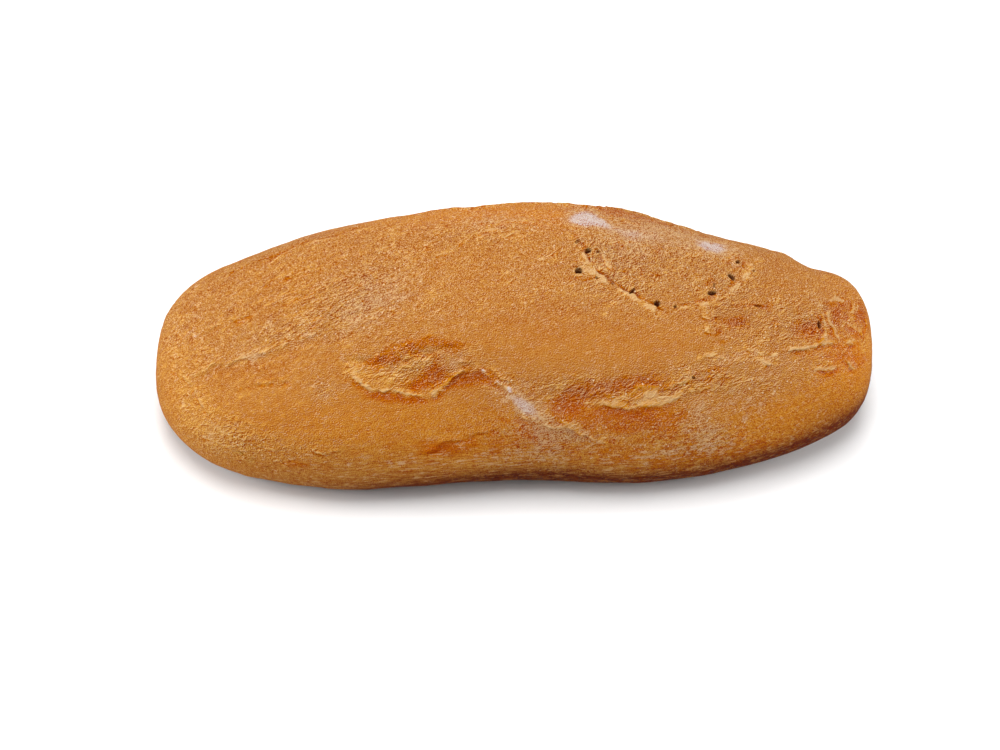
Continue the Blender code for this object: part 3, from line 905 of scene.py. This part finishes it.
# Stains and painted shade multiply the colour under them
GRAIN_PAINTED_SHADE = (0.630, 0.255, 0.015, 1)
CRACK_PAINTED_SHADE = (0.640, 0.260, 0.020, 1)
SCORCH_AND_SHADE_STAIN = (0.870, 0.650, 0.350, 1)
BROWN_AND_SHADE_STAIN = (0.910, 0.610, 0.050, 1)
STONE_BROWN_AND_SHADE = (0.250, 0.084, 0.015, 1)

finish = bpy.data.materials.new("baked_crust_finish")
finish.use_nodes = True
nodes = finish.node_tree.nodes
links = finish.node_tree.links
principled = nodes["Principled BSDF"]
coordinates = nodes.new("ShaderNodeTexCoord").outputs["Object"]


def attribute(name):
    """The painted strength of one kind of mark."""
    node = nodes.new("ShaderNodeAttribute")
    node.attribute_name = name
    return node.outputs["Fac"]


# Grains are painted with light on the side that lies this way and with shade on the other
LIT_SIDE = 128.0  # the grains are paler on the side that lies this way, in degrees, as seen


def drawn_out(stretch, rise, shift=0.0):
    """Object coordinates for a pattern drawn out along a line that rises to the right, as seen.
    With a shift, in mm, the pattern is read that far towards the lit side."""
    line = slanted(rise)
    lit = slanted(LIT_SIDE)
    mapping = nodes.new("ShaderNodeMapping")
    mapping.vector_type = "TEXTURE"
    mapping.inputs["Location"].default_value = Vector(-lit * shift * MM)
    mapping.inputs["Rotation"].default_value = Vector(line).to_track_quat("X", "Z").to_euler()
    mapping.inputs["Scale"].default_value = (stretch, 1, 1)
    links.new(coordinates, mapping.inputs["Vector"])
    return mapping.outputs["Vector"]


def speckle(wavelength, detail=2.0, roughness=0.5, stretch=1.0, rise=0.0, shift=0.0):
    """Noise with spots of about the wavelength, in mm."""
    node = nodes.new("ShaderNodeTexNoise")
    node.inputs["Scale"].default_value = 1 / (wavelength * MM)
    node.inputs["Detail"].default_value = detail
    node.inputs["Roughness"].default_value = roughness
    links.new(drawn_out(stretch, rise, shift), node.inputs["Vector"])
    return node.outputs["Fac"]


def cells(size):
    """Distance to the middle of cells of about the size, as a share of it."""
    node = nodes.new("ShaderNodeTexVoronoi")
    node.inputs["Scale"].default_value = 1 / (size * MM)
    links.new(coordinates, node.inputs["Vector"])
    return node.outputs["Distance"]


def between(value, low, high):
    """0 where value is under low and 1 where it is over high."""
    node = nodes.new("ShaderNodeMapRange")
    node.interpolation_type = "SMOOTHSTEP"
    node.inputs["From Min"].default_value = low
    node.inputs["From Max"].default_value = high
    links.new(value, node.inputs["Value"])
    return node.outputs["Result"]


def arithmetic(operation, first, second, clamp=False):
    """One step of arithmetic on two values, either of which may be a plain number."""
    node = nodes.new("ShaderNodeMath")
    node.operation = operation
    node.use_clamp = clamp
    for socket, value in zip(node.inputs, (first, second)):
        if isinstance(value, (int, float)):
            socket.default_value = value
        else:
            links.new(value, socket)
    return node.outputs["Value"]


def plus(first, second, clamp=False):
    """The sum of two values."""
    return arithmetic("ADD", first, second, clamp)


def minus(first, second):
    """The first value less the second."""
    return arithmetic("SUBTRACT", first, second)


def times(first, second, clamp=False):
    """The product of two values."""
    return arithmetic("MULTIPLY", first, second, clamp)


def about(value, amount):
    """A noise as a swing about zero."""
    return times(minus(value, 0.5), amount)


def coat(under, colour, amount):
    """Lays a colour over the one under it."""
    node = nodes.new("ShaderNodeMix")
    node.data_type = "RGBA"
    links.new(amount, node.inputs["Factor"])
    if isinstance(under, tuple):
        node.inputs["A"].default_value = under
    else:
        links.new(under, node.inputs["A"])
    node.inputs["B"].default_value = colour
    return node.outputs["Result"]


def tint(under, colour, amount):
    """Darkens the colour under it towards a stain's colour, which keeps the grain's contrast."""
    node = nodes.new("ShaderNodeMix")
    node.data_type = "RGBA"
    node.blend_type = "MULTIPLY"
    links.new(amount, node.inputs["Factor"])
    links.new(under, node.inputs["A"])
    node.inputs["B"].default_value = colour
    return node.outputs["Result"]


def ridges(wavelength, stretch, rise, width, shift):
    """Thin crooked ridges that run mostly along a line that rises to the right, as seen."""
    level = about(speckle(wavelength, 2.0, 0.55, stretch, rise, shift), 1.0)
    off_line = arithmetic("ABSOLUTE", level, 0.0)
    return minus(1.0, between(off_line, 0.0, width))


flour_here = attribute("flour")
pale_here = attribute("pale")
brown_and_shade_here = attribute("brown_and_shade")
pit_shade_here = attribute("pit")
low_brown_and_shade_here = attribute("low_brown_and_shade")
coarse_here = attribute("coarse")
stretched_here = attribute("stretched")
warmed_and_lit_here = attribute("warmed_and_lit")
swept_here = attribute("swept")

# Patterns of the baked skin, from the broadest to the finest
broad = speckle(48.0, 3.0)
patches = speckle(12.0, 3.0, 0.6, stretch=2.8, rise=16.0)
mottle = speckle(6.5, 3.0, 0.6, stretch=1.8, rise=22.0)
clumps = speckle(4.6, 3.0, 0.62, stretch=1.5, rise=24.0)
drifts = speckle(2.4, 3.0, 0.65, stretch=1.4, rise=20.0)
streaks = speckle(1.8, 2.0, 0.6, stretch=7.0, rise=26.0)
freckles = speckle(1.4, 1.0, 0.5, stretch=1.5, rise=32.0)
dragged = speckle(1.2, 2.0, 0.6, stretch=6.0, rise=3.0)
grit = speckle(0.75, 1.0, 0.6)
rough_skin = plus(coarse_here, times(low_brown_and_shade_here, 0.6))
wispy = between(plus(plus(rough_skin, pale_here), about(mottle, 1.8)), 0.20, 0.95)


def relief_at(shift):
    """Height of the skin's fine relief, in mm: sandy grain everywhere, combed where the skin was
    dragged, and crags where it is rough. The crags are also returned alone."""
    sandy = minus(plus(1.0, coarse_here), times(swept_here, 0.35))
    grain = times(about(speckle(0.38, 0.0, shift=shift), 1.0), sandy)
    combed = about(speckle(0.8, 1.0, 0.5, stretch=6.0, rise=3.0, shift=shift), 1.2)
    sand = about(speckle(0.7, 1.0, 0.5, stretch=1.3, rise=30.0, shift=shift), 0.9)
    sand = plus(times(sand, plus(0.08, coarse_here)), times(combed, swept_here))
    crags = plus(ridges(5.0, 2.6, 24.0, 0.06, shift), ridges(2.6, 2.2, 30.0, 0.07, shift))
    crags = times(crags, times(wispy, 0.5))
    return plus(grain, plus(sand, crags)), crags


# Painted light and shade: a grain is painted paler on its lit side and darker behind, more strongly
# where the crust is fuller or rough
GRAIN_WIDTH = 0.27
relief, crags = relief_at(0.0)
further, _ = relief_at(GRAIN_WIDTH)
fine = times(minus(relief, further), 3.0)
fine = times(fine, plus(0.5, between(grit, 0.38, 0.62)))
crisp = plus(times(warmed_and_lit_here, 0.35), times(low_brown_and_shade_here, 0.9))
crisp = plus(crisp, times(coarse_here, 0.4))
fine = times(fine, plus(1.0, crisp))
behind = times(fine, -1.0)

# The baked skin, and what is paler: dusty patches, torn skin, drawn-out lines and crags
uneven = plus(about(mottle, 1.2), about(streaks, 0.6))
torn = times(plus(about(clumps, 4.0), 0.08), rough_skin)
colour = coat(GOLD, TAN, between(broad, 0.42, 0.60))
colour = coat(colour, AMBER, times(between(patches, 0.46, 0.64), 0.75))
# Painted light and a fuller orange where the crust is warmed
colour = coat(colour, LIT_ORANGE, warmed_and_lit_here)
dusty = between(plus(flour_here, uneven), 0.05, 0.75)
colour = coat(colour, DUSTY, times(dusty, 0.6))
flaked = plus(about(freckles, 1.4), about(streaks, 1.0))
pale_patch = between(minus(plus(pale_here, flaked), torn), 0.10, 1.00)
colour = coat(colour, PALE_CRUST, times(pale_patch, 0.75))
lines = times(between(streaks, 0.55, 0.66), times(stretched_here, 0.75))
colour = coat(colour, PALE_CRUST, lines)
# Painted shade in the furrows between the drawn-out lines
shaded_furrows = times(minus(1.0, between(streaks, 0.34, 0.42)), stretched_here)
colour = tint(colour, CRACK_PAINTED_SHADE, times(shaded_furrows, 0.45))
colour = coat(colour, PALE_CRUST, times(crags, 0.9, clamp=True))

# Painted light and shade: the lit and the dark sides of the grains, painted glints, and painted
# shade in the cracks
lit = between(fine, 0.03, 0.45)
colour = coat(colour, GRAIN_PAINTED_LIGHT, times(lit, minus(0.65, times(warmed_and_lit_here, 0.40))))
colour = coat(colour, WARM_GRAIN_PAINTED_LIGHT, times(lit, times(warmed_and_lit_here, 0.75)))
painted_glints = times(between(fine, 0.30, 0.60), plus(rough_skin, pale_patch))
painted_glints = times(painted_glints, minus(0.6, times(warmed_and_lit_here, 0.5)), clamp=True)
colour = coat(colour, PAINTED_GLINT, painted_glints)
on_crest = between(pale_here, 0.5, 1.3)
painted_grain_shade = times(between(behind, 0.03, 0.45), minus(0.9, times(on_crest, 0.35)))
colour = tint(colour, GRAIN_PAINTED_SHADE, painted_grain_shade)
painted_crack_shade = times(between(behind, 0.30, 0.70), times(rough_skin, 0.9), clamp=True)
colour = tint(colour, CRACK_PAINTED_SHADE, painted_crack_shade)

# What baked dark, with painted shade in the hollows, and the flour that lies over it
colour = coat(colour, DUST_CREAM, times(on_crest, 0.45))
brown_and_shade_patch = between(plus(plus(brown_and_shade_here, torn), uneven), 0.20, 0.68)
colour = tint(colour, BROWN_AND_SHADE_STAIN, brown_and_shade_patch)
colour = tint(colour, SCORCH_AND_SHADE_STAIN, between(plus(brown_and_shade_here, about(freckles, 1.0)), 0.65, 1.15))
drifted = plus(about(drifts, 2.6), times(about(dragged, 3.6), swept_here))
# Flour specks and heaps also follow the grains' painted lit sides
lit_grain_dust = times(fine, minus(0.6, times(swept_here, 0.4)))
specks = plus(drifted, plus(lit_grain_dust, about(freckles, 1.0)))
dust = between(plus(flour_here, specks), 0.45, 0.85)
heap = times(between(flour_here, 0.66, 1.10), plus(0.5, between(fine, -0.35, 0.25)))
colour = coat(colour, DUST_CREAM, times(dust, 0.7))
colour = coat(colour, FLOUR_WHITE, times(times(dust, heap), 0.8, clamp=True))
flecks = minus(1.0, between(cells(3.2), 0.08, 0.13))
flecked = between(plus(rough_skin, flour_here), 0.15, 0.5)
colour = coat(colour, FLECK_CREAM, times(flecks, flecked))

# The browner crust and painted shade near the stone, with flour settled in its streaks, and the
# painted shade inside the pits
colour = tint(colour, STONE_BROWN_AND_SHADE, low_brown_and_shade_here)
settled = between(plus(times(fine, 0.2), about(dragged, 6.0)), 0.10, 1.10)
colour = coat(colour, SETTLED, times(times(settled, swept_here), 0.42))
# Painted shade inside the pits
colour = coat(colour, PIT_SHADE, pit_shade_here)
links.new(colour, principled.inputs["Base Color"])

# A matt skin, most of all under flour, with hardly any shine
MATT = 0.72
SHINE = 0.02
rough = plus(MATT, times(fine, 0.1))
rough = plus(rough, times(dust, 0.2), clamp=True)
links.new(rough, principled.inputs["Roughness"])
principled.inputs["Specular IOR Level"].default_value = SHINE

# The fine relief also tilts the light
BUMP_HEIGHT = 0.35
relief = plus(relief, times(about(streaks, 1.0), stretched_here))
relief = plus(relief, times(dust, 0.1))
bump = nodes.new("ShaderNodeBump")
bump.inputs["Strength"].default_value = 1.0
bump.inputs["Distance"].default_value = BUMP_HEIGHT * MM
links.new(relief, bump.inputs["Height"])
links.new(bump.outputs["Normal"], principled.inputs["Normal"])
crust_mesh.materials.append(finish)

# ---------------------------------------------------------------------------------------------
# Floor, light and camera
# A plain pale floor, soft lights overhead, behind and at both sides, the left one stronger, and a
# camera that looks down on the front of the loaf.
# ---------------------------------------------------------------------------------------------
FLOOR_REACH = 6.0
FLOOR_WHITE = (0.88, 0.88, 0.88, 1)
floor_mesh = bpy.data.meshes.new("floor")
flat = bmesh.new()
bmesh.ops.create_grid(flat, x_segments=1, y_segments=1, size=FLOOR_REACH)
flat.to_mesh(floor_mesh)
flat.free()
floor = bpy.data.objects.new("floor", floor_mesh)
bpy.context.scene.collection.objects.link(floor)
floor_finish = bpy.data.materials.new("floor_finish")
floor_finish.use_nodes = True
floor_look = floor_finish.node_tree.nodes["Principled BSDF"]
floor_look.inputs["Base Color"].default_value = FLOOR_WHITE
floor_look.inputs["Roughness"].default_value = 0.9
floor_mesh.materials.append(floor_finish)

SKY_STRENGTH = 0.25
world = bpy.data.worlds.new("studio")
world.use_nodes = True
sky = world.node_tree.nodes["Background"]
sky.inputs["Color"].default_value = (1, 1, 1, 1)
sky.inputs["Strength"].default_value = SKY_STRENGTH
bpy.context.scene.world = world

LIGHT_SIZE = 0.8


def soft_light(name, position, power):
    """A square studio light that faces the loaf."""
    lamp = bpy.data.lights.new(name, "AREA")
    lamp.size = LIGHT_SIZE
    lamp.energy = power
    light = bpy.data.objects.new(name, lamp)
    light.location = position
    light.rotation_euler = (-Vector(position)).to_track_quat("-Z", "Y").to_euler()
    bpy.context.scene.collection.objects.link(light)


soft_light("overhead", (0, 0, 1.5), 17.5)
soft_light("behind", (0, 0.9, 1.2), 7.3)
soft_light("left", (-1.4, -0.1, 0.7), 17.9)
soft_light("right", (1.4, -0.1, 0.7), 12.5)

LENS = 85.0
SENSOR_WIDTH = 36.0
OFF_RIGHT = 6.04  # how far the loaf's middle is right of and above the picture's, in mm
OFF_ABOVE = 13.2
camera_data = bpy.data.cameras.new("camera")
camera_data.lens = LENS
camera_data.sensor_width = SENSOR_WIDTH
camera = bpy.data.objects.new("camera", camera_data)
aim = np.array(MIDDLE) - (box_middle[0], box_middle[1], 0)
aim = aim - front_view.right * OFF_RIGHT - front_view.up * OFF_ABOVE
position = (aim + front_view.towards * EYE_DISTANCE) * MM
turn = Matrix((front_view.right, front_view.up, front_view.towards)).transposed()
camera.matrix_world = Matrix.LocRotScale(Vector(position), turn.to_quaternion(), None)
bpy.context.scene.collection.objects.link(camera)
bpy.context.scene.camera = camera
bpy.context.scene.view_settings.view_transform = "Standard"
